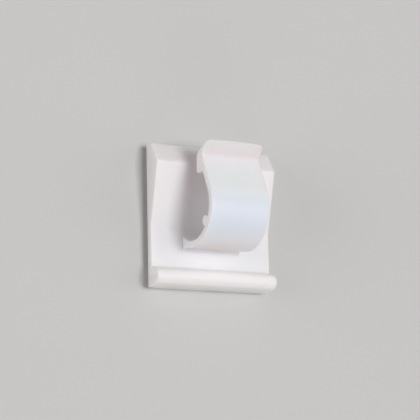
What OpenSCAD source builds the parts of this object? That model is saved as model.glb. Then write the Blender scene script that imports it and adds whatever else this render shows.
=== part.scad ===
// Adhesive cable clip: a moulded nylon clip on a die-cut foam pad.
// X runs along the nest, Y across it from the bead to the jaw, and Z away from the wall.
// The origin is the middle of the adhesive face, and every profile below is drawn as [y, z].

/* [Base plate] */
// Length of the base along the nest
base_len = 25.4; // [18:0.1:50]
// Span of the base across the nest, from the bead's edge to the jaw's edge
base_span = 26.9; // [24:0.1:50]
// Thickness of the base plate
base_t = 1.5; // [1:0.05:2.5]
// Radius of the base's corners, seen from the front
base_corner_r = 0.3; // [0.1:0.05:2]

/* [Jaw] */
// Depth of the jaw's flat top edge, measured from the back of the plate
jaw_top_depth = 2.1; // [1.6:0.05:3.5]
// Depth of the jaw's tip, measured from the back of the plate
jaw_tip_depth = 4.5; // [3.5:0.05:5.5]
// Distance from the jaw's top edge down its lead-in ramp to the tip
jaw_tip_drop = 3.85; // [2:0.05:6]
// Radius of the jaw's tip
jaw_tip_r = 0.5; // [0.2:0.05:1]
// Radius of the edge between the jaw's top and its ramp
jaw_edge_r = 0.25; // [0.1:0.05:0.6]
// Length of the sloping seat, from the jaw's tip down to the plate
seat_len = 11.8; // [6:0.1:16]

/* [Bead] */
// Radius of the bead's round nose
bead_r = 1.5; // [0.9:0.05:1.7]
// Depth of the bead's front, measured from the back of the plate
bead_depth = 4.1; // [3.6:0.05:5]
// Width of the bead where it meets the front of the plate
bead_width = 3.7; // [3.4:0.05:5]
// Distance of the nose's middle from the lower edge of the base
bead_nose_rise = 1.9; // [1.6:0.05:2.2]
// Radius of the hollow between the bead and the plate
bead_fillet_r = 0.4; // [0.2:0.05:1]

/* [Spring arm] */
// Length of the arm along the nest
arm_len = 12.2; // [6:0.1:18]
// Thickness of the arm
arm_t = 1.35; // [0.9:0.05:2]
// Inner radius of the arm's bend
nest_r = 6.15; // [5.2:0.05:9]
// Distance of the bend's centre below the jaw's tip
nest_drop = 8.5; // [7:0.1:11]
// Height of the bend's centre above the front of the plate
nest_rise = 3.8; // [2.5:0.1:5]
// Lean of the straight stretch above the bend, towards the jaw, in degrees
arm_lean = 24; // [15:0.5:32]
// Length of the straight stretch, from the bend to the crease under the lip
straight_len = 6.8; // [4:0.1:10]
// Radius of the hollows where the arm leaves the plate
root_fillet_r = 0.9; // [0.3:0.05:1.5]

/* [Retaining rib] */
// Radius of the rib inside the arm
rib_r = 1; // [0.5:0.05:1.3]
// Height of the rib above the arm's inner face
rib_proud = 1.5; // [0.6:0.05:2]
// Place of the rib round the bend, from the front of the bend towards the root, in degrees
rib_angle = 35; // [15:1:50]

/* [Head] */
// Clear mouth between the jaw's tip and the barb's flat face
mouth_gap = 2.7; // [1.5:0.05:3.4]
// Distance of the barb's underside below the crease
barb_drop = 3.3; // [2:0.05:5]
// Length of the barb's flat face across the nest
barb_len = 2.9; // [1:0.05:4.5]
// Radius of the barb's lower corner
barb_r = 0.45; // [0.1:0.05:1]
// Radius of the hollow between the barb and the arm
barb_fillet_r = 0.3; // [0.1:0.05:0.8]
// Radius of the lead-in nose above the barb
nose_r = 1.4; // [0.6:0.05:2]
// Length of the lip's face, from the crease to its free edge
lip_len = 3.1; // [2:0.05:6]
// Flare of the lip away from the base, in degrees
lip_flare = 40; // [20:1:55]
// Radius of the lip's free edge
lip_edge_r = 0.3; // [0.15:0.05:0.6]
// Radius of the crease between the arm and the lip
crease_r = 1; // [0.3:0.05:2]
// Radius of the lip's two corners, seen from the front
lip_corner_r = 1.1; // [0.3:0.05:3]
// Rise of the lip's crowned free edge in the middle of its length
lip_crown = 0.2; // [0.05:0.05:1]

/* [Adhesive pad] */
// Thickness of the foam pad
pad_t = 1.4; // [0.4:0.05:2]
// Inset of the pad from each end of the base
pad_end_inset = 1.6; // [0.2:0.05:4]
// Inset of the pad from the jaw's edge of the base
pad_jaw_inset = 0.5; // [0.1:0.05:3]
// Inset of the pad from the bead's edge of the base
pad_bead_inset = 0.1; // [0.05:0.05:3]
// Radius of the pad's corners
pad_corner_r = 0.8; // [0.2:0.05:3]

/* [Hidden] */
$fn = 96;
nylon = [0.93, 0.93, 0.91];
foam = [0.9, 0.88, 0.83];

// Arcs are drawn this much over size, so that they cross the faces they round at a clear angle
cross = 1.005;
// The bend and the bead cross the flat faces that follow them at this depth, for the same reason
blend = arm_t / 100;

// Levels of the plate and edges of the base
plate_back = pad_t;
plate_front = plate_back + base_t;
plate_middle = plate_back + base_t / 2;
top_edge = base_span / 2;
bottom_edge = -base_span / 2;

// Corners of the jaw
jaw_tip = [top_edge - jaw_tip_drop, plate_back + jaw_tip_depth];
jaw_top = [top_edge, plate_back + jaw_top_depth];
jaw_back = [top_edge, plate_back];
seat_end = [jaw_tip[0] - seat_len, plate_front];

// The bead: the middle of its nose, the feet of its two sloping sides, and where those touch the nose
bead_mid = [bottom_edge + bead_nose_rise, plate_back + bead_depth - bead_r];
bead_inner = [bottom_edge + bead_width, plate_front];
bead_outer = [bottom_edge, plate_middle];
bead_inner_touch = touch(bead_inner, bead_mid, bead_r - blend, -1);
bead_outer_touch = touch(bead_outer, bead_mid, bead_r - blend, 1);

// The arm's bend, and the two lines of its straight stretch
outer_r = nest_r + arm_t;
wall_mid_r = nest_r + arm_t / 2;
reach = outer_r + straight_len + lip_len;
nest = [jaw_tip[0] - nest_drop, plate_front + nest_rise];
lean_normal = polar(1, 90 - arm_lean);
lean_along = polar(1, -arm_lean);
outer_start = nest + (outer_r - blend) * lean_normal;
inner_start = nest + (nest_r - blend) * lean_normal;
crease = outer_start + straight_len * lean_along;
inner_far = line_at(inner_start, lean_along, nest[0] + reach);
rib_along = polar(1, 90 + rib_angle);
rib_side = polar(rib_r - blend, rib_angle);
rib_mid = nest + (nest_r - rib_proud + rib_r) * rib_along;
rib_root = nest + outer_r * rib_along;

// The head: the barb faces the jaw's tip across the mouth, and its nose is limited by the wall
barb_face = jaw_tip[1] + mouth_gap;
nose = min(nose_r, 0.8 * (crease[1] - barb_face));
barb_low = [crease[0] - barb_drop, barb_face];
nose_mid = [barb_low[0] + barb_len, barb_face + nose];
barb_root = line_at(inner_start, lean_along, barb_low[0]);

// The lip's free edge, and the line over the top that touches both round ends
flare_along = polar(1, lip_flare);
flare_normal = polar(1, lip_flare + 90);
edge_mid = crease + (lip_len - lip_edge_r) * flare_along - lip_edge_r * flare_normal;
over_line = edge_mid - nose_mid;
over_angle = atan2(over_line[1], over_line[0]) - acos((nose - lip_edge_r) / norm(over_line));
nose_spread = 15;
lip_top = edge_mid[0] + lip_edge_r;
crown_r = (arm_len * arm_len / 4 + lip_crown * lip_crown) / (2 * lip_crown);

// Length and span of the pad
pad_len = base_len - 2 * pad_end_inset;
pad_span = base_span - pad_jaw_inset - pad_bead_inset;

function polar(r, a) = [r * cos(a), r * sin(a)];
function unit(v) = v / norm(v);
function line_at(p, along, y) = p + along * (y - p[0]) / along[0];
// The point where a line from p touches the circle of radius r about mid, on the side given as -1 or 1
function touch(p, mid, r, side) =
    p + polar(sqrt(pow(norm(mid - p), 2) - r * r), touch_angle(mid - p, r, side));
function touch_angle(v, r, side) = atan2(v[1], v[0]) + side * asin(r / norm(v));

// Draws children in the [y, z] plane and runs them along the nest
module along_nest(len)
    rotate([90, 0, 90])
        translate([0, 0, -len / 2])
            linear_extrude(len) children();

// The area between a corner and the arc that rounds it, for a corner at p between points a and b.
// It reaches a little past both edges, so it can be cut from an outer corner or added to an inner one.
module corner_area(p, a, b, r) {
    u = unit(a - p);
    v = unit(b - p);
    half = acos(u * v) / 2;
    run = r / tan(half);
    inward = unit(u + v) / sin(half);
    mid = p + inward * r;
    past = r / 2;
    difference() {
        polygon([
            mid,
            p + u * run + unit(p + u * run - mid) * past,
            p - inward * past,
            p + v * run + unit(p + v * run - mid) * past
        ]);
        translate(mid) circle(r * cross);
    }
}

// The hollow where a round wall meets the plate's front. The wall has radius wall_r about mid, and core_r
// is a radius inside it. side is -1 or 1 for the way the hollow lies, and room is its radius, less than
// zero for a hollow on the wall's inner side.
module foot_area(mid, wall_r, core_r, side, room) {
    r = abs(room);
    rise = plate_front - mid[1];
    centre = [mid[0] + side * sqrt(pow(wall_r + room, 2) - pow(rise + r, 2)), plate_front + r];
    foot = [mid[0] + side * sqrt(pow(wall_r, 2) - pow(rise, 2)), plate_front];
    core = mid + core_r * unit(foot - mid);
    difference() {
        polygon([
            [centre[0], plate_middle],
            [core[0], plate_middle],
            mid + core_r * unit(centre - mid),
            centre
        ]);
        translate(centre) circle(r * cross);
    }
}

// A rectangle with round corners, centred
module rounded_outline(len, span, r) {
    square([len - 2 * r, span], center = true);
    square([len, span - 2 * r], center = true);
    for (x = [-1, 1], y = [-1, 1])
        translate([x * (len / 2 - r), y * (span / 2 - r)]) circle(r);
}

module plate_profile()
    translate([bead_mid[0], plate_back]) square([top_edge - bead_mid[0], base_t]);

module jaw_profile()
    difference() {
        polygon([
            jaw_back,
            jaw_top,
            jaw_tip,
            seat_end,
            [seat_end[0], plate_middle],
            [jaw_tip[0], plate_back]
        ]);
        corner_area(jaw_top, jaw_back, jaw_tip, jaw_edge_r);
        corner_area(jaw_tip, jaw_top, seat_end, jaw_tip_r);
    }

// The bead: a round nose between two sloping sides, with a hollow where the inner one meets the plate
module bead_profile() {
    translate(bead_mid) circle(bead_r);
    polygon([
        [bottom_edge, plate_back],
        bead_outer,
        bead_outer_touch,
        bead_inner_touch,
        bead_inner,
        [bead_inner[0], plate_middle],
        [bead_mid[0], plate_back]
    ]);
    corner_area(bead_inner, bead_inner_touch, [top_edge, plate_front], bead_fillet_r);
}

// The strip of the arm, from its root in the plate to the crease: an outer form less an inner one
module strip_profile()
    intersection() {
        difference() {
            union() {
                translate(nest) circle(outer_r);
                polygon([nest, outer_start, crease]);
            }
            translate(nest) circle(nest_r);
            polygon([nest, inner_start, inner_far, [inner_far[0], plate_back], [nest[0], plate_back]]);
        }
        translate([nest[0] - reach, plate_middle]) square(2 * reach);
    }

// The rib: a round nose on a straight web that ends inside the arm's wall
module rib_profile()
    intersection() {
        union() {
            translate(rib_mid) circle(rib_r);
            polygon([rib_mid + rib_side, rib_root + rib_side, rib_root - rib_side, rib_mid - rib_side]);
        }
        translate(nest) circle(wall_mid_r);
    }

module root_fillets() {
    foot_area(nest, outer_r, wall_mid_r, -1, root_fillet_r);
    foot_area(nest, nest_r, wall_mid_r, -1, -root_fillet_r);
}

// The part of the nose's circle from the barb's flat face round to the line over the top
module nose_profile()
    intersection() {
        translate(nose_mid) circle(nose * cross);
        polygon([
            nose_mid,
            nose_mid + polar(2 * nose, -90 - nose_spread),
            nose_mid + polar(2 * nose, (over_angle - 90) / 2),
            nose_mid + polar(2 * nose, over_angle + nose_spread)
        ]);
    }

module head_profile() {
    difference() {
        polygon([
            crease,
            edge_mid + lip_edge_r * flare_normal,
            edge_mid + polar(lip_edge_r, over_angle),
            nose_mid + polar(nose, over_angle),
            [nose_mid[0], barb_face],
            barb_low,
            barb_root
        ]);
        corner_area(barb_low, [nose_mid[0], barb_face], barb_root, barb_r);
    }
    nose_profile();
    translate(edge_mid) circle(lip_edge_r * cross);
    corner_area(barb_root, barb_low, inner_start, barb_fillet_r);
    corner_area(crease, outer_start, edge_mid + lip_edge_r * flare_normal, crease_r);
}

module arm_profile() {
    strip_profile();
    root_fillets();
    head_profile();
    rib_profile();
}

// The arm seen from the front: a strip whose free end is crowned, with round corners
module arm_outline()
    intersection() {
        translate([0, lip_top - reach]) rounded_outline(arm_len, 2 * reach, lip_corner_r);
        translate([0, lip_top - crown_r]) circle(crown_r);
    }

module base_body()
    intersection() {
        along_nest(base_len) {
            plate_profile();
            jaw_profile();
            bead_profile();
        }
        linear_extrude(jaw_tip[1] + bead_depth) rounded_outline(base_len, base_span, base_corner_r);
    }

module spring_arm()
    intersection() {
        along_nest(arm_len) arm_profile();
        linear_extrude(nest[1] + reach) arm_outline();
    }

module clip()
    color(nylon) {
        base_body();
        spring_arm();
    }

module adhesive_pad()
    color(foam)
        translate([0, (pad_bead_inset - pad_jaw_inset) / 2, 0])
            linear_extrude(pad_t) rounded_outline(pad_len, pad_span, pad_corner_r);

clip();
adhesive_pad();
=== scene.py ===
# %% [markdown]
# # An adhesive cable clip
# The part is a small white nylon moulding stuck to a wall with a foam pad. A C-shaped spring arm stands on
# a plate, and its barbed head hangs over a ramped jaw. The solids arrive packed, in metres, lying on their
# back: X runs along the nest, Y from the bead to the jaw, and Z away from the wall. This lesson gives them
# round edges, surfaces that look like moulded nylon and cut foam, a camera, a floor and soft light.

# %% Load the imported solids
import math

import bmesh
import bpy
from mathutils import Matrix, Vector
from mathutils.geometry import interpolate_bezier


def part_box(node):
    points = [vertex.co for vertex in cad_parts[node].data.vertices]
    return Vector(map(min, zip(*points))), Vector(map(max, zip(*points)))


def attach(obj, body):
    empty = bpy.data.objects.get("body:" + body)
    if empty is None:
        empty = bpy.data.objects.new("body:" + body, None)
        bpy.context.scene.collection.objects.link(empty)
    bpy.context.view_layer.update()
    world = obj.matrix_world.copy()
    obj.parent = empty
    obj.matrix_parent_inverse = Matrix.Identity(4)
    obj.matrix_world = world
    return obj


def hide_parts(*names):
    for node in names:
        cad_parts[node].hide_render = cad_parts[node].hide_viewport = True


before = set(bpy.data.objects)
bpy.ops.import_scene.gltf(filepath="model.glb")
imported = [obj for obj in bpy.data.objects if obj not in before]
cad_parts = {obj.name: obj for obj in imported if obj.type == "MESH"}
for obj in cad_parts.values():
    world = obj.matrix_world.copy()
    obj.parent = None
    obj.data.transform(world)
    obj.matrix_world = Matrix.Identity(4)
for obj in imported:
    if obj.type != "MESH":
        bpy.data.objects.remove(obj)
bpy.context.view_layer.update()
scene = bpy.context.scene
mm = 0.001
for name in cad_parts:
    low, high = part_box(name)
    print(name, "is", [round(side / mm, 2) for side in high - low], "mm")

# %% [markdown]
# ## Where the camera stands
# The angles were found by matching the straight edges of the plate, which is a rectangle of known size.
# The camera looks from the left and a little from below, with a long lens, so the far end of the plate is
# only slightly smaller than the near one. A camera can also be aimed with a constraint, but three axes
# written as the columns of a matrix leave nothing to guess about its roll.

# %% Camera
turn, tilt, roll = math.radians(30), math.radians(-10.9), math.radians(-1.3)
stand_off = 276.2 * mm
shift_right, shift_up = 0.605 * mm, 1.966 * mm
image_px, focal_px = 420, 1461
away = Vector((-math.sin(turn) * math.cos(tilt), math.sin(tilt), math.cos(turn) * math.cos(tilt)))
level_right = (-away).cross(Vector((0, 1, 0))).normalized()
level_up = level_right.cross(-away)
view_right = level_right * math.cos(roll) + level_up * math.sin(roll)
view_up = level_up * math.cos(roll) - level_right * math.sin(roll)
plate_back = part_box("clip")[0].z
aim = Vector((0, 0, plate_back)) + shift_right * view_right + shift_up * view_up
lens = bpy.data.cameras.new("camera")
lens.sensor_width = 36
lens.lens = focal_px * lens.sensor_width / image_px
lens.clip_start = 10 * mm
camera = bpy.data.objects.new("camera", lens)
axes = Matrix((view_right, view_up, away)).transposed().to_4x4()
camera.matrix_world = Matrix.Translation(aim + away * stand_off) @ axes
scene.collection.objects.link(camera)
scene.camera = camera
height = round(math.degrees(math.asin(away.z)), 1)
print("lens", round(lens.lens, 1), "mm, looking down at", height, "degrees")

# %% [markdown]
# ## Small helpers for node trees
# Every shape and finish below is a node tree built in code. One helper makes an empty tree with named
# sockets, one puts a node in it and fills its inputs with values or links, and one hands an object to a
# tree. A modifier knows its inputs by identifier, so the names are looked up first.

# %% Node helpers
def new_tree(name, kind, inputs, outputs):
    tree = bpy.data.node_groups.new(name, kind)
    for direction, sockets in (("INPUT", inputs), ("OUTPUT", outputs)):
        for label, socket in sockets.items():
            tree.interface.new_socket(name=label, in_out=direction, socket_type="NodeSocket" + socket)
    return tree, tree.nodes.new("NodeGroupInput").outputs, tree.nodes.new("NodeGroupOutput").inputs


def place(tree, kind, inputs=None, **settings):
    node = tree.nodes.new(kind)
    for label, value in settings.items():
        setattr(node, label, value)
    for label, value in (inputs or {}).items():
        if isinstance(value, bpy.types.NodeSocket):
            tree.links.new(value, node.inputs[label])
        else:
            node.inputs[label].default_value = value
    return node


def math_of(tree, operation, first, second=0.0, clamp=False):
    node = place(tree, "ShaderNodeMath", {0: first, 1: second}, operation=operation, use_clamp=clamp)
    return node.outputs[0]


def hand_to(piece, tree, values):
    modifier = piece.modifiers.new(tree.name, "NODES")
    modifier.node_group = tree
    for item in tree.interface.items_tree:
        if item.in_out == "INPUT" and item.name in values:
            modifier[item.identifier] = values[item.name]


def settle(piece, name):
    """The evaluated shape of a piece as a plain mesh object at the origin. The piece itself goes."""
    bpy.context.view_layer.update()
    shown = piece.evaluated_get(bpy.context.evaluated_depsgraph_get())
    mesh = bpy.data.meshes.new_from_object(shown)
    mesh.name = name
    bpy.data.objects.remove(piece)
    made = bpy.data.objects.new(name, mesh)
    scene.collection.objects.link(made)
    print(name, "has", len(mesh.polygons), "faces")
    return made


print("helpers ready")

# %% [markdown]
# ## The two outlines of the moulding
# The clip is drawn as two profiles, one for the base and one for the arm, each run along the nest. A mould
# can't hold a knife edge, so the real one has a small radius along every outer edge, and that radius is
# what catches the light. A bevel modifier would have to work on the solid's triangles, and it stumbles over
# the short ones at the lip. It is cleaner to cut the solid, keep the two outlines and sweep them again with
# round ends. The cut at one side of the arm gives the base, and the cut near the middle gives both.

# %% Cut the outlines out of the solid
beside_arm, near_middle = 9 * mm, 0.3 * mm
weld, straight_within = 0.002 * mm, 0.0005 * mm


def outline_at(x):
    """The loop of (y, z) points where the plane at x cuts the clip, anticlockwise as seen from +X."""
    shape = bmesh.new()
    shape.from_mesh(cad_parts["clip"].data)
    bmesh.ops.remove_doubles(shape, verts=shape.verts, dist=weld)
    everything = shape.verts[:] + shape.edges[:] + shape.faces[:]
    bmesh.ops.bisect_plane(shape, geom=everything, plane_co=(x, 0, 0), plane_no=(1, 0, 0), clear_outer=True)
    edges = [edge for edge in shape.edges if edge.is_boundary]
    first = edges[0].verts[0]
    loop, vert, left = [], first, set(edges)
    while left:
        edge = next(e for e in vert.link_edges if e in left)
        left.discard(edge)
        loop.append((vert.co.y, vert.co.z))
        vert = edge.other_vert(vert)
        if vert is first:
            break
    shape.free()
    kept = []
    for before, here, after in zip(loop[-1:] + loop, loop, loop[1:] + loop[:1]):
        before = kept[-1] if kept else before
        chord = (Vector(after) - Vector(before)).normalized()
        aside = (Vector(here) - Vector(before)).cross(chord)
        if abs(aside) > straight_within:
            kept.append(here)
    area = sum(a[0] * b[1] - b[0] * a[1] for a, b in zip(kept, kept[1:] + kept[:1]))
    return kept if area > 0 else kept[::-1]


base_chords = outline_at(beside_arm)
whole_chords = outline_at(near_middle)
print(len(base_chords), "chords round the base and", len(whole_chords), "round base and arm")

# %% [markdown]
# ## From chords back to arcs
# The solid arrives as triangles, so each arc of an outline has become a row of short straight chords, and a
# satin surface shows those as stripes. A chord that meets its neighbours at a small angle is bent back into
# a curve: its ends get the direction that the arc has there, and a Bezier curve joins them. A long chord is
# a real flat face and stays straight, and so does the end of an arc at a sharp corner.

# %% Bend the short chords
longest_bent, bent_spacing = 0.55 * mm, 0.05 * mm
corner_angle, flat_ratio = math.radians(20), 2.5


def bent_again(chords):
    """The loop of chords as a finer loop, with its short chords bent into arcs."""
    spots = [Vector(chord) for chord in chords]
    ways = [after - here for here, after in zip(spots, spots[1:] + spots[:1])]
    headings = []
    for before, after in zip(ways[-1:] + ways, ways):
        arriving, leaving = before.normalized(), after.normalized()
        if before.angle(after) < corner_angle:
            if before.length > flat_ratio * after.length:
                leaving = arriving
            elif after.length > flat_ratio * before.length:
                arriving = leaving
            else:
                arriving = leaving = (arriving * after.length + leaving * before.length).normalized()
        headings.append((arriving, leaving))
    outline = []
    for here, way, start, end in zip(spots, ways, headings, headings[1:] + headings[:1]):
        if way.length > longest_bent:
            outline.append(here)
            continue
        after, pull = here + way, way.length / 3
        steps = 2 + int(way.length / bent_spacing)
        outline += interpolate_bezier(here, here + start[1] * pull, after - end[0] * pull, after, steps)[:-1]
    return [tuple(point[:2]) for point in outline]


base_outline = bent_again(base_chords)
whole_outline = bent_again(whole_chords)
flat_y = -5 * mm
plate_front = max(
    a[1] + (b[1] - a[1]) * (flat_y - a[0]) / (b[0] - a[0])
    for a, b in zip(base_outline, base_outline[1:] + base_outline[:1])
    if (a[0] - flat_y) * (b[0] - flat_y) < 0
)
print(len(base_outline), "points round the base; the plate's front is at", round(plate_front / mm, 3), "mm")

# %% Take the arm out of the whole outline
foot_clear, foot_run, foot_depth = 0.03 * mm, 0.6 * mm, 0.8 * mm


def foot(points):
    """The points from the lip's edge to just above the plate, and on along their slope to under its face."""
    run = []
    for y, z in points:
        if z < plate_front + foot_clear:
            break
        run.append(Vector((y, z)))
    slope = (run[-1] - run[-2]).normalized()
    end = run[-1] + slope * foot_run
    return run + [end, Vector((end.x, plate_front - foot_depth))]


peak = max(range(len(whole_outline)), key=lambda i: whole_outline[i][1])
round_trip = whole_outline[peak:] + whole_outline[:peak]
outer_side = foot(round_trip)
inner_side = foot(round_trip[:1] + round_trip[:0:-1])
arm_outline = inner_side[:0:-1] + outer_side
lip_tip = max(point.x for point in arm_outline)
print(len(arm_outline), "points round the arm; its lip reaches y =", round(lip_tip / mm, 2), "mm")

# %% [markdown]
# ## Sweeping an outline with round edges
# The tree lays an outline flat, rounds the corners that ask for it, spaces its points evenly and softens
# them a little. A second short curve, three lines with two filleted corners, is the cross-section: it runs
# from one end of the piece over its edge, along its length and over the other edge. Curve to Mesh carries
# it round the outline, and two filled copies of the inset outline close the ends.

# %% Tree: swept moulding
swept_moulding, given, result = new_tree(
    "swept_moulding",
    "GeometryNodeTree",
    {
        "Outline": "Geometry",
        "Length": "Float",
        "Edge Radius": "Float",
        "Point Spacing": "Float",
        "Softening": "Int",
        "Cuts": "Int",
        "Material": "Material",
    },
    {"Moulding": "Geometry"},
)
tree = swept_moulding
corner_radius = place(tree, "GeometryNodeInputRadius").outputs[0]
rounded = place(
    tree,
    "GeometryNodeFilletCurve",
    {"Curve": given["Outline"], "Radius": corner_radius, "Count": 6, "Limit Radius": True},
    mode="POLY",
)
spaced = place(
    tree,
    "GeometryNodeResampleCurve",
    {"Curve": rounded.outputs[0], "Length": given["Point Spacing"]},
    mode="LENGTH",
)
place_now = place(tree, "GeometryNodeInputPosition").outputs[0]
soft_place = place(
    tree,
    "GeometryNodeBlurAttribute",
    {"Value": place_now, "Iterations": given["Softening"]},
    data_type="FLOAT_VECTOR",
)
soft = place(
    tree,
    "GeometryNodeSetPosition",
    {"Geometry": spaced.outputs[0], "Position": soft_place.outputs[0]},
)
plain = place(tree, "GeometryNodeSetCurveRadius", {"Curve": soft.outputs[0], "Radius": 1.0})
path = place(
    tree, "GeometryNodeSetCurveNormal", {"Curve": plain.outputs[0], "Normal": (0, 0, 1)}, mode="FREE"
).outputs[0]
print("the path round an outline takes", len(tree.nodes), "nodes")

# %% Tree: swept moulding, its cross-section
inset_share, face_from = -1.1, -0.02
half = math_of(tree, "MULTIPLY", given["Length"], 0.5)
back_half = math_of(tree, "MULTIPLY", given["Length"], -0.5)
inset = math_of(tree, "MULTIPLY", given["Edge Radius"], inset_share)


def point_at(x, y):
    return place(tree, "ShaderNodeCombineXYZ", {"X": x, "Y": y}).outputs[0]


three_lines = place(
    tree,
    "GeometryNodeCurvePrimitiveQuadrilateral",
    {
        "Point 1": point_at(back_half, inset),
        "Point 2": point_at(back_half, 0.0),
        "Point 3": point_at(half, 0.0),
        "Point 4": point_at(half, inset),
    },
    mode="POINTS",
)
opened = place(
    tree, "GeometryNodeSetSplineCyclic", {"Geometry": three_lines.outputs[0], "Cyclic": False}
)
over_edges = place(
    tree,
    "GeometryNodeFilletCurve",
    {"Curve": opened.outputs[0], "Radius": given["Edge Radius"], "Count": 5},
    mode="POLY",
)
parts = place(tree, "ShaderNodeSeparateXYZ", {0: place_now}).outputs
depth = math_of(tree, "DIVIDE", parts["Y"], given["Edge Radius"])
at_start = math_of(tree, "LESS_THAN", parts["X"], 0.0)
on_face = math_of(tree, "GREATER_THAN", depth, face_from)
cuts = math_of(tree, "MULTIPLY", math_of(tree, "MULTIPLY", at_start, on_face), given["Cuts"])
section = place(tree, "GeometryNodeSubdivideCurve", {"Curve": over_edges.outputs[0], "Cuts": cuts})
wall = place(tree, "GeometryNodeCurveToMesh", {"Curve": path, "Profile Curve": section.outputs[0]})
wall = place(tree, "GeometryNodeFlipFaces", {"Mesh": wall.outputs[0]}).outputs[0]
print("with its cross-section it takes", len(tree.nodes))

# %% Tree: swept moulding, its two ends
along = place(tree, "GeometryNodeInputTangent").outputs[0]
outward = place(tree, "ShaderNodeVectorMath", {0: along, 1: (0, 0, 1)}, operation="CROSS_PRODUCT").outputs[0]
inward = place(tree, "ShaderNodeVectorMath", {0: outward, "Scale": inset}, operation="SCALE").outputs[0]
inner_line = place(tree, "GeometryNodeSetPosition", {"Geometry": path, "Offset": inward}).outputs[0]
end_face = place(tree, "GeometryNodeFillCurve", {"Curve": inner_line}, mode="TRIANGLES").outputs[0]
front_end = place(
    tree,
    "GeometryNodeTransform",
    {"Geometry": end_face, "Translation": place(tree, "ShaderNodeCombineXYZ", {"Z": half}).outputs[0]},
)
back_end = place(
    tree,
    "GeometryNodeTransform",
    {"Geometry": end_face, "Translation": place(tree, "ShaderNodeCombineXYZ", {"Z": back_half}).outputs[0]},
)
back_end = place(tree, "GeometryNodeFlipFaces", {"Mesh": back_end.outputs[0]})
joined = place(tree, "GeometryNodeJoinGeometry")
for shape in (wall, front_end.outputs[0], back_end.outputs[0]):
    tree.links.new(shape, joined.inputs[0])
closed = place(tree, "GeometryNodeMergeByDistance", {"Geometry": joined.outputs[0], "Distance": 0.0005 * mm})
stood_up = place(
    tree,
    "GeometryNodeTransform",
    {"Geometry": closed.outputs[0], "Rotation": (math.radians(90), 0, math.radians(90))},
)
real = place(tree, "GeometryNodeRealizeInstances", {"Geometry": stood_up.outputs[0]})
finished = place(
    tree, "GeometryNodeSetMaterial", {"Geometry": real.outputs[0], "Material": given["Material"]}
)
tree.links.new(finished.outputs[0], result["Moulding"])
print("swept_moulding has", len(tree.nodes), "nodes")

# %% [markdown]
# ## The base and the arm
# An outline becomes a poly curve whose point radius says how far that corner is filleted. The base has two
# square corners at its back, which get the same small radius as its edges. The arm's foot has square
# corners too, but they end up inside the plate.

# %% Sweep both outlines
nylon = bpy.data.materials.new("nylon")
same_point, above_base = 0.01 * mm, 9 * mm
back_corner, foot_corner = 0.3 * mm, 0.25 * mm


def outline_curve(name, points, corners, radius):
    data = bpy.data.curves.new(name, "CURVE")
    data.dimensions = "3D"
    spline = data.splines.new("POLY")
    spline.points.add(len(points) - 1)
    spline.use_cyclic_u = True
    for spot, (y, z) in zip(spline.points, points):
        spot.co = (y, z, 0, 1)
        is_corner = any(math.dist((y, z), corner) < same_point for corner in corners)
        spot.radius = radius if is_corner else 0.0
    piece = bpy.data.objects.new(name, data)
    scene.collection.objects.link(piece)
    return piece


base_low, base_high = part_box("clip")
back_corners = [(base_low.y, plate_back), (base_high.y, plate_back)]
base_curve = outline_curve("base_outline", base_outline, back_corners, back_corner)
base_length = base_high.x - base_low.x
hand_to(
    base_curve,
    swept_moulding,
    {
        "Length": base_length,
        "Edge Radius": 0.19 * mm,
        "Point Spacing": 0.12 * mm,
        "Softening": 2,
        "Cuts": 24,
        "Material": nylon,
    },
)
base = settle(base_curve, "base")

arm_corners = [tuple(point) for point in (*outer_side[-2:], *inner_side[-2:])]
arm_points = [tuple(point) for point in arm_outline]
arm_curve = outline_curve("arm_outline", arm_points, arm_corners, foot_corner)
arm_length = 2 * max(v.co.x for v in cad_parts["clip"].data.vertices if v.co.z > above_base)
hand_to(
    arm_curve,
    swept_moulding,
    {
        "Length": arm_length,
        "Edge Radius": 0.18 * mm,
        "Point Spacing": 0.1 * mm,
        "Softening": 2,
        "Cuts": 15,
        "Material": nylon,
    },
)
arm = settle(arm_curve, "arm")
print("base length", round(base_length / mm, 2), "and arm length", round(arm_length / mm, 2), "mm")

# %% [markdown]
# ## Round corners on the lip
# Seen from the front, the free end of the arm has round corners and its edge is crowned: a finger finds the
# lip without meeting a sharp corner. Both follow a rule in X and Y, so Set Position bends the swept arm
# instead of cutting it, and the small edge radius stays on all the way round the corner.

# %% Tree: lip corners
lip_corners, given, result = new_tree(
    "lip_corners",
    "GeometryNodeTree",
    {
        "Arm": "Geometry",
        "Half Length": "Float",
        "Tip": "Float",
        "Corner Radius": "Float",
        "Crown": "Float",
        "Crown Start": "Float",
        "Material": "Material",
    },
    {"Arm": "Geometry"},
)
tree = lip_corners
spot = place(tree, "ShaderNodeSeparateXYZ", {0: place(tree, "GeometryNodeInputPosition").outputs[0]}).outputs
corner_start = math_of(tree, "SUBTRACT", given["Tip"], given["Corner Radius"])
past_start = math_of(tree, "SUBTRACT", spot["Y"], corner_start)
round_way = math_of(tree, "DIVIDE", past_start, given["Corner Radius"], clamp=True)
square = math_of(tree, "MULTIPLY", round_way, round_way)
fall = math_of(tree, "SQRT", math_of(tree, "SUBTRACT", 1.0, square))
drawn_in = math_of(tree, "MULTIPLY", math_of(tree, "SUBTRACT", 1.0, fall), given["Corner Radius"])
half_kept = math_of(tree, "SUBTRACT", given["Half Length"], drawn_in)
kept_share = math_of(tree, "DIVIDE", half_kept, given["Half Length"])
new_x = math_of(tree, "MULTIPLY", spot["X"], kept_share)
across = math_of(tree, "DIVIDE", new_x, given["Half Length"])
lip_way = math_of(tree, "SUBTRACT", spot["Y"], given["Crown Start"])
lip_depth = math_of(tree, "SUBTRACT", given["Tip"], given["Crown Start"])
ramp = math_of(tree, "DIVIDE", lip_way, lip_depth, clamp=True)
bow = math_of(tree, "MULTIPLY", math_of(tree, "MULTIPLY", across, across), given["Crown"])
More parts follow.
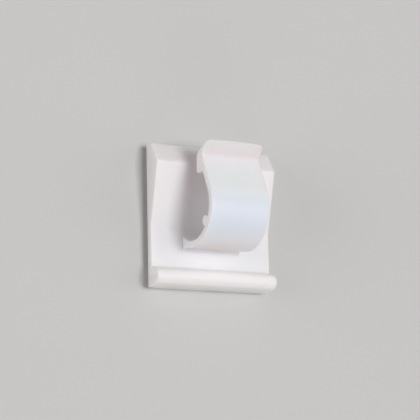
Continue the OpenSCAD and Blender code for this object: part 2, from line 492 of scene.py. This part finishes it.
new_y = math_of(tree, "SUBTRACT", spot["Y"], math_of(tree, "MULTIPLY", bow, ramp))
new_spot = place(tree, "ShaderNodeCombineXYZ", {"X": new_x, "Y": new_y, "Z": spot["Z"]}).outputs[0]
bent = place(tree, "GeometryNodeSetPosition", {"Geometry": given["Arm"], "Position": new_spot})
real = place(tree, "GeometryNodeRealizeInstances", {"Geometry": bent.outputs[0]})
finished = place(
    tree, "GeometryNodeSetMaterial", {"Geometry": real.outputs[0], "Material": given["Material"]}
)
tree.links.new(finished.outputs[0], result["Arm"])
print("lip_corners has", len(tree.nodes), "nodes")

# %% Bend the lip
crease_y = 10.36 * mm
hand_to(
    arm,
    lip_corners,
    {
        "Half Length": arm_length / 2,
        "Tip": lip_tip,
        "Corner Radius": 1.1 * mm,
        "Crown": 0.2 * mm,
        "Crown Start": crease_y,
        "Material": nylon,
    },
)
arm = settle(arm, "bent_arm")

# %% [markdown]
# ## One moulding
# The arm grows out of the plate, so the two become one closed skin with an exact Boolean union. Light can
# then pass from one into the other inside the nylon. Faces are shaded smooth, and only real corners, such
# as the foot of the arm, stay sharp.

# %% Join the arm to the base
def smooth_and_check(piece, sharp_degrees):
    """Smooth shading up to an angle, and a line that says whether the skin is closed."""
    piece.data.shade_smooth()
    piece.data.set_sharp_from_angle(angle=math.radians(sharp_degrees))
    skin = bmesh.new()
    skin.from_mesh(piece.data)
    open_edges = sum(not edge.is_manifold for edge in skin.edges)
    volume = round(skin.calc_volume(signed=True) / mm**3, 1)
    print(piece.name, "has", open_edges, "open edges and", volume, "mm3")
    skin.free()


union = base.modifiers.new("union", "BOOLEAN")
union.operation = "UNION"
union.solver = "EXACT"
union.object = arm
moulding = settle(base, "moulding")
bpy.data.objects.remove(arm)
smooth_and_check(moulding, 40)

# %% [markdown]
# ## The foam pad
# The pad is punched from a sheet of foam with adhesive film on both faces. A blade leaves the cut side
# slightly hollow and a little ragged, while the faces stay flat. The tree draws the outline, stands a short
# line on it for the side, fills both faces, and lets a seeded noise push the side inwards only, so the pad
# never grows out of its solid.

# %% Tree: die-cut pad
foam = bpy.data.materials.new("foam")
film = bpy.data.materials.new("adhesive_film")
die_cut_pad, given, result = new_tree(
    "die_cut_pad",
    "GeometryNodeTree",
    {
        "Sheet": "Geometry",
        "Size": "Vector",
        "Centre": "Vector",
        "Corner Radius": "Float",
        "Point Spacing": "Float",
        "Hollow": "Float",
        "Raggedness": "Float",
        "Seed": "Float",
        "Foam": "Material",
        "Film": "Material",
    },
    {"Pad": "Geometry"},
)
tree = die_cut_pad
size = place(tree, "ShaderNodeSeparateXYZ", {0: given["Size"]}).outputs
sheet = place(tree, "GeometryNodeCurvePrimitiveQuadrilateral", {"Width": size["X"], "Height": size["Y"]})
cut = place(
    tree,
    "GeometryNodeFilletCurve",
    {"Curve": sheet.outputs[0], "Radius": given["Corner Radius"], "Count": 8},
    mode="POLY",
)
spaced = place(
    tree,
    "GeometryNodeResampleCurve",
    {"Curve": cut.outputs[0], "Length": given["Point Spacing"]},
    mode="LENGTH",
)
path = place(
    tree, "GeometryNodeSetCurveNormal", {"Curve": spaced.outputs[0], "Normal": (0, 0, 1)}, mode="FREE"
).outputs[0]
upright_end = place(tree, "ShaderNodeCombineXYZ", {"X": size["Z"]}).outputs[0]
upright = place(tree, "GeometryNodeCurvePrimitiveLine", {"Start": (0, 0, 0), "End": upright_end})
upright = place(tree, "GeometryNodeResampleCurve", {"Curve": upright.outputs[0], "Count": 9}, mode="COUNT")
side = place(tree, "GeometryNodeCurveToMesh", {"Curve": path, "Profile Curve": upright.outputs[0]})
side = place(tree, "GeometryNodeFlipFaces", {"Mesh": side.outputs[0]})
back_face = place(tree, "GeometryNodeFillCurve", {"Curve": path}, mode="TRIANGLES").outputs[0]
lift = place(tree, "ShaderNodeCombineXYZ", {"Z": size["Z"]}).outputs[0]
front_face = place(tree, "GeometryNodeTransform", {"Geometry": back_face, "Translation": lift}).outputs[0]
back_face = place(tree, "GeometryNodeFlipFaces", {"Mesh": back_face}).outputs[0]
joined = place(tree, "GeometryNodeJoinGeometry")
for shape in (side.outputs[0], front_face, back_face):
    tree.links.new(shape, joined.inputs[0])
closed = place(tree, "GeometryNodeMergeByDistance", {"Geometry": joined.outputs[0], "Distance": 0.001 * mm})
print("the punched pad takes", len(tree.nodes), "nodes")

# %% Tree: die-cut pad, its cut side and its finishes
rag_size, flat_from = 0.6 * mm, 0.9
here = place(tree, "GeometryNodeInputPosition").outputs[0]
level = math_of(tree, "DIVIDE", place(tree, "ShaderNodeSeparateXYZ", {0: here}).outputs["Z"], size["Z"])
# The arch is 0 at both faces and 1 halfway between them.
quarter_arch = math_of(tree, "MULTIPLY", level, math_of(tree, "SUBTRACT", 1.0, level))
arch = math_of(tree, "MULTIPLY", quarter_arch, 4.0)
hollow = math_of(tree, "MULTIPLY", arch, given["Hollow"])
noise = place(
    tree,
    "ShaderNodeTexNoise",
    {"Vector": here, "W": given["Seed"], "Scale": 1 / rag_size, "Detail": 3.0},
    noise_dimensions="4D",
)
ragged = math_of(tree, "MULTIPLY", noise.outputs[0], given["Raggedness"])
push = math_of(tree, "MULTIPLY", math_of(tree, "ADD", hollow, ragged), -1.0)
facing = place(tree, "GeometryNodeInputNormal").outputs[0]
level_facing = place(tree, "ShaderNodeVectorMath", {0: facing, 1: (1, 1, 0)}, operation="MULTIPLY").outputs[0]
unit = place(tree, "ShaderNodeVectorMath", {0: level_facing}, operation="NORMALIZE").outputs[0]
offset = place(tree, "ShaderNodeVectorMath", {0: unit, "Scale": push}, operation="SCALE").outputs[0]
worn = place(tree, "GeometryNodeSetPosition", {"Geometry": closed.outputs[0], "Offset": offset})
moved = place(tree, "GeometryNodeTransform", {"Geometry": worn.outputs[0], "Translation": given["Centre"]})
real = place(tree, "GeometryNodeRealizeInstances", {"Geometry": moved.outputs[0]})
foamed = place(tree, "GeometryNodeSetMaterial", {"Geometry": real.outputs[0], "Material": given["Foam"]})
upward = math_of(tree, "ABSOLUTE", place(tree, "ShaderNodeSeparateXYZ", {0: facing}).outputs["Z"])
on_faces = place(
    tree, "FunctionNodeCompare", {"A": upward, "B": flat_from}, data_type="FLOAT", operation="GREATER_THAN"
).outputs[0]
filmed = place(
    tree,
    "GeometryNodeSetMaterial",
    {"Geometry": foamed.outputs[0], "Selection": on_faces, "Material": given["Film"]},
)
tree.links.new(filmed.outputs[0], result["Pad"])
print("die_cut_pad has", len(tree.nodes), "nodes")

# %% Punch the pad
pad_low, pad_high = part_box("adhesive_pad")
blank = bpy.data.objects.new("pad_blank", bpy.data.meshes.new("pad_blank"))
scene.collection.objects.link(blank)
pad_centre = (pad_low + pad_high) / 2
hand_to(
    blank,
    die_cut_pad,
    {
        "Size": list(pad_high - pad_low),
        "Centre": (pad_centre.x, pad_centre.y, pad_low.z),
        "Corner Radius": 0.8 * mm,
        "Point Spacing": 0.15 * mm,
        "Hollow": 0.05 * mm,
        "Raggedness": 0.04 * mm,
        "Seed": 4.0,
        "Foam": foam,
        "Film": film,
    },
)
foam_pad = settle(blank, "foam_pad")
smooth_and_check(foam_pad, 50)

# %% [markdown]
# ## Two effects that several finishes share
# Nothing that was moulded or cut is perfectly even. The first group turns a place on the surface into a
# fine height, for a bump, and a slow cloudy patch, for colour and gloss. The second scatters a few specks
# of dust: Voronoi cells hold one point each, and only some cells keep theirs. Groups hand back plain
# values, so each material decides what they do to its own shader.

# %% Shader group: fine grain
fine_grain, given, result = new_tree(
    "fine_grain",
    "ShaderNodeTree",
    {"Place": "Vector", "Grain Size": "Float", "Patch Size": "Float"},
    {"Height": "Float", "Patch": "Float"},
)
tree = fine_grain
fine_scale = math_of(tree, "DIVIDE", 1.0, given["Grain Size"])
fine = place(tree, "ShaderNodeTexNoise", {"Vector": given["Place"], "Scale": fine_scale, "Detail": 2.0})
slow_scale = math_of(tree, "DIVIDE", 1.0, given["Patch Size"])
slow = place(tree, "ShaderNodeTexNoise", {"Vector": given["Place"], "Scale": slow_scale, "Detail": 3.0})
patch = place(tree, "ShaderNodeMapRange", {"Value": slow.outputs[0], "From Min": 0.3, "From Max": 0.7})
tree.links.new(fine.outputs[0], result["Height"])
tree.links.new(patch.outputs[0], result["Patch"])
print("fine_grain has", len(tree.nodes), "nodes")

# %% Shader group: dust
dust, given, result = new_tree(
    "dust",
    "ShaderNodeTree",
    {"Place": "Vector", "Spacing": "Float", "Speck Share": "Float", "Kept Share": "Float"},
    {"Mask": "Float"},
)
tree = dust
cell_scale = math_of(tree, "DIVIDE", 1.0, given["Spacing"])
cells = place(tree, "ShaderNodeTexVoronoi", {"Vector": given["Place"], "Scale": cell_scale})
near = place(
    tree,
    "ShaderNodeMapRange",
    {"Value": cells.outputs["Distance"], "From Min": given["Speck Share"], "From Max": 0.0},
)
chance = place(tree, "ShaderNodeSeparateColor", {0: cells.outputs["Color"]}).outputs[0]
chosen = math_of(tree, "LESS_THAN", chance, given["Kept Share"])
tree.links.new(math_of(tree, "MULTIPLY", near.outputs[0], chosen), result["Mask"])
print("dust has", len(tree.nodes), "nodes")

# %% [markdown]
# ## Natural nylon
# The moulding is uncoloured nylon: a warm white that light enters and leaves again a little way off.
# Subsurface scattering gives it that soft look, with red light going deepest, so shaded sides stay warm.
# On the arm, where the wall is thin, the white is painted cooler, a painted cast of the cool light that falls
# on it and passes through it, with painted shade round the bend and painted light on the straight stretch,
# while the leaning lip is painted warmer and darker, as shade. The hollow above the bead and the bead's
# lower side are painted paler, as light, than their shading leaves them. Masks from the object's own
# coordinates and normal blend those in, and another finds the round edges, where the normal turns sideways;
# there a pale painted highlight is laid on.
# Gloss is a soft satin that varies in patches, the edges are slightly smoother, and a very fine bump stands
# for the grain of the mould.

# %% Helpers for finishes
def colour_mix(tree, amount, first, second):
    node = place(tree, "ShaderNodeMix", {0: amount, 6: first, 7: second}, data_type="RGBA")
    return node.outputs[2]


def start_material(material):
    material.use_nodes = True
    tree = material.node_tree
    return tree, tree.nodes["Principled BSDF"], place(tree, "ShaderNodeTexCoord").outputs["Object"]


def between(tree, value, low, high):
    node = place(
        tree,
        "ShaderNodeMapRange",
        {"Value": value, "From Min": low, "From Max": high},
        interpolation_type="SMOOTHSTEP",
    )
    return node.outputs[0]


def grain_at(tree, spot, size, patch_size):
    inputs = {"Place": spot, "Grain Size": size, "Patch Size": patch_size}
    return place(tree, "ShaderNodeGroup", inputs, node_tree=fine_grain).outputs


def specks_at(tree, spot, spacing, speck_share, kept_share):
    inputs = {"Place": spot, "Spacing": spacing, "Speck Share": speck_share, "Kept Share": kept_share}
    return place(tree, "ShaderNodeGroup", inputs, node_tree=dust).outputs["Mask"]


def bump_from(tree, height, strength, distance):
    inputs = {"Strength": strength, "Distance": distance, "Height": height}
    return place(tree, "ShaderNodeBump", inputs).outputs[0]


print("finish helpers ready")

# %% Nylon, where its tints lie
arm_height, head_fade, lip_start = (5.5 * mm, 9 * mm), (12 * mm, 4.5 * mm), (9.8 * mm, 10.7 * mm)
hollow_upper, hollow_lower = (-9.2 * mm, -9.8 * mm), (-11.6 * mm, -10.7 * mm)
bead_lower = (-12.2 * mm, -13 * mm)
tree, shader, spot = start_material(nylon)
grain = grain_at(tree, spot, 0.12 * mm, 5 * mm)
specks = specks_at(tree, spot, 1.6 * mm, 0.035, 0.35)
axes = place(tree, "ShaderNodeSeparateXYZ", {0: spot}).outputs
normal = place(tree, "ShaderNodeSeparateXYZ", {0: spot.node.outputs["Normal"]}).outputs
sideways = math_of(tree, "ABSOLUTE", normal["X"])
edge = math_of(tree, "MULTIPLY", between(tree, sideways, 0.1, 0.4), between(tree, sideways, 0.98, 0.8))
high_up = between(tree, axes["Z"], *arm_height)
off_head = between(tree, axes["Y"], *head_fade)
outside = math_of(tree, "MULTIPLY", high_up, between(tree, normal["Z"], 0.2, 0.9))
# Where the painted cool light goes on the outside of the arm.
painted_cool_light_mask = math_of(tree, "MULTIPLY", outside, off_head)
on_lip = math_of(tree, "MULTIPLY", outside, between(tree, axes["Y"], *lip_start))
# Where painted light goes: the hollow above the bead and the bead's lower side.
above_bead = between(tree, axes["Y"], *hollow_upper)
hollow = math_of(tree, "MULTIPLY", above_bead, between(tree, axes["Y"], *hollow_lower))
below_bead = between(tree, axes["Y"], *bead_lower)
low_side = math_of(tree, "MULTIPLY", below_bead, between(tree, normal["Y"], -0.5, -0.9))
painted_bead_light_mask = math_of(tree, "MAXIMUM", hollow, low_side)
print("the masks of the nylon take", len(tree.nodes), "nodes")

# %% Nylon, its colours
white, dull_white = (0.875, 0.857, 0.876, 1), (0.855, 0.834, 0.85, 1)
# The cool colours of the arm are painted light: painted shade round the bend, painted light on the straight.
painted_cool_shade_bend, painted_cool_light_straight = (0.72, 0.785, 0.882, 1), (0.85, 0.91, 0.985, 1)
# The lip colour is painted shade, the pale bead colour painted light, and the pale rim colour a painted
# highlight.
painted_lip_shade, painted_bead_light, painted_rim_highlight = (0.82, 0.757, 0.772, 1), (0.972, 0.955, 0.962, 1), (0.9, 0.88, 0.875, 1)
brown_dust = (0.5, 0.46, 0.42, 1)
tint_share, rim_highlight_share, dust_share = 0.9, 0.35, 0.3
satin, patch_gloss, rim_gloss = 0.42, 0.1, 0.05
body = colour_mix(tree, grain["Patch"], white, dull_white)
# Painted cool light on the arm: darker, as shade, round the bend and lighter, as light, on the straight
# stretch.
painted_cool_cast = colour_mix(tree, between(tree, normal["Y"], 0.0, 0.4), painted_cool_shade_bend, painted_cool_light_straight)
with_painted_cool = colour_mix(tree, math_of(tree, "MULTIPLY", painted_cool_light_mask, tint_share), body, painted_cool_cast)
# Painted warm shade on the leaning lip.
head = colour_mix(tree, math_of(tree, "MULTIPLY", on_lip, tint_share), with_painted_cool, painted_lip_shade)
# Painted light in the hollow above the bead and on its lower side.
bead = colour_mix(tree, painted_bead_light_mask, head, painted_bead_light)
# Painted highlight along the round edges.
with_rim_highlight = colour_mix(tree, math_of(tree, "MULTIPLY", edge, rim_highlight_share), bead, painted_rim_highlight)
tinted = colour_mix(tree, math_of(tree, "MULTIPLY", specks, dust_share), with_rim_highlight, brown_dust)
gloss = math_of(tree, "ADD", math_of(tree, "MULTIPLY", grain["Patch"], patch_gloss), satin)
gloss = math_of(tree, "SUBTRACT", gloss, math_of(tree, "MULTIPLY", edge, rim_gloss))
bump = bump_from(tree, grain["Height"], 0.5, 0.004 * mm)
for label, value in (("Base Color", tinted), ("Roughness", gloss), ("Normal", bump)):
    tree.links.new(value, shader.inputs[label])
shader.inputs["Subsurface Weight"].default_value = 1.0
shader.inputs["Subsurface Radius"].default_value = (1.0, 0.8, 0.68)
shader.inputs["Subsurface Scale"].default_value = 2.4 * mm
shader.inputs["IOR"].default_value = 1.53
print("nylon has", len(tree.nodes), "nodes")

# %% [markdown]
# ## Foam and adhesive film
# The cut side of the pad shows opened foam cells, pale walls round small pits about a fifth of a
# millimetre across, and the pits are painted darker as the shade inside them. Voronoi distance gives both
# the pits and their depth. The two faces carry acrylic adhesive: smoother and glossier, with the faint
# orange peel of a coating that was pressed flat.

# %% Foam
pale_foam, dull_foam = (0.85, 0.83, 0.79, 1), (0.81, 0.785, 0.735, 1)
painted_pit_shade, foam_dust = (0.56, 0.53, 0.48, 1), (0.42, 0.38, 0.34, 1)
cell_size = 0.22 * mm
tree, shader, spot = start_material(foam)
cells = place(tree, "ShaderNodeTexVoronoi", {"Vector": spot, "Scale": 1 / cell_size})
pits = between(tree, cells.outputs["Distance"], 0.45, 0.12)
grain = grain_at(tree, spot, 0.08 * mm, 3 * mm)
specks = specks_at(tree, spot, 1.2 * mm, 0.06, 0.4)
sheet = colour_mix(tree, grain["Patch"], pale_foam, dull_foam)
# Painted shade in the pits of the open cells.
holed = colour_mix(tree, math_of(tree, "MULTIPLY", pits, 0.45), sheet, painted_pit_shade)
dusty = colour_mix(tree, math_of(tree, "MULTIPLY", specks, 0.4), holed, foam_dust)
bump = bump_from(tree, cells.outputs["Distance"], 0.7, 0.04 * mm)
for label, value in (("Base Color", dusty), ("Normal", bump)):
    tree.links.new(value, shader.inputs[label])
shader.inputs["Roughness"].default_value = 0.85
print("foam has", len(tree.nodes), "nodes")

# %% Adhesive film
pale_coat, dull_coat, coat_dust = (0.82, 0.805, 0.765, 1), (0.77, 0.75, 0.7, 1), (0.4, 0.37, 0.33, 1)
tree, shader, spot = start_material(film)
grain = grain_at(tree, spot, 0.5 * mm, 4 * mm)
specks = specks_at(tree, spot, 1.4 * mm, 0.05, 0.45)
coat = colour_mix(tree, grain["Patch"], pale_coat, dull_coat)
dusty = colour_mix(tree, math_of(tree, "MULTIPLY", specks, 0.5), coat, coat_dust)
gloss = math_of(tree, "ADD", math_of(tree, "MULTIPLY", grain["Patch"], 0.14), 0.22)
bump = bump_from(tree, grain["Height"], 0.4, 0.02 * mm)
for label, value in (("Base Color", dusty), ("Roughness", gloss), ("Normal", bump)):
    tree.links.new(value, shader.inputs[label])
print("film has", len(tree.nodes), "nodes")

# %% [markdown]
# ## Floor and light
# The clip lies on its pad on a pale sheet of paper. The light is plain and soft: a broad lamp in front of
# the plate and a little to the right, so the head throws its shade to the left, a weaker one further round
# to the right, a low one from the left that keeps the end faces bright, and a weak low one that lights the
# bead from below. Suns with a wide angle give the same light everywhere on the floor. Area lamps would do
# the same near the part, but the paper would turn dark towards the horizon. The world adds a little warm
# light to the shade. To the camera and in reflections it shows the grey of the paper, so that no line
# marks the horizon.

# %% Floor
floor_half, under_pad = 1.5, -0.02 * mm
floor_mesh = bpy.data.meshes.new("floor")
signs = [(-1, -1), (1, -1), (1, 1), (-1, 1)]
corners = [(x * floor_half, y * floor_half) for x, y in signs]
floor_mesh.from_pydata([(x, y, under_pad) for x, y in corners], [], [(0, 1, 2, 3)])
floor = bpy.data.objects.new("floor", floor_mesh)
scene.collection.objects.link(floor)
paper = bpy.data.materials.new("paper")
floor_mesh.materials.append(paper)
shader = start_material(paper)[1]
shader.inputs["Base Color"].default_value = (0.62, 0.62, 0.62, 1)
shader.inputs["Roughness"].default_value = 0.9
print("the floor is", 2 * floor_half, "m wide")

# %% Light
def lamp(name, direction, strength, spread):
    data = bpy.data.lights.new(name, "SUN")
    data.energy = strength
    data.angle = math.radians(spread)
    light = bpy.data.objects.new(name, data)
    light.rotation_euler = Vector(direction).to_track_quat("Z", "Y").to_euler()
    scene.collection.objects.link(light)
    print(name, "lamp, strength", strength)


lamp("front", (0.14, -0.03, 0.99), 1.72, 25)
lamp("right", (0.82, 0, 0.57), 0.48, 40)
lamp("left", (-0.97, 0, 0.26), 0.94, 40)
lamp("bead side", (0, -0.97, 0.26), 0.34, 40)
world = bpy.data.worlds.new("studio")
scene.world = world
world.use_nodes = True
tree = world.node_tree
path = place(tree, "ShaderNodeLightPath").outputs
seen = math_of(tree, "MAXIMUM", path["Is Camera Ray"], path["Is Glossy Ray"])
seen = math_of(tree, "MAXIMUM", seen, path["Is Transmission Ray"])
warm_light, paper_grey = (0.18, 0.158, 0.148, 1), (0.6, 0.589, 0.582, 1)
sky = colour_mix(tree, seen, warm_light, paper_grey)
tree.links.new(sky, tree.nodes["Background"].inputs["Color"])
scene.view_settings.view_transform = "Standard"

# %% Hand over
for piece, node, slot in ((moulding, "clip", "nylon"), (foam_pad, "adhesive_pad", "foam")):
    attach(piece, "root")
    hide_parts(node)
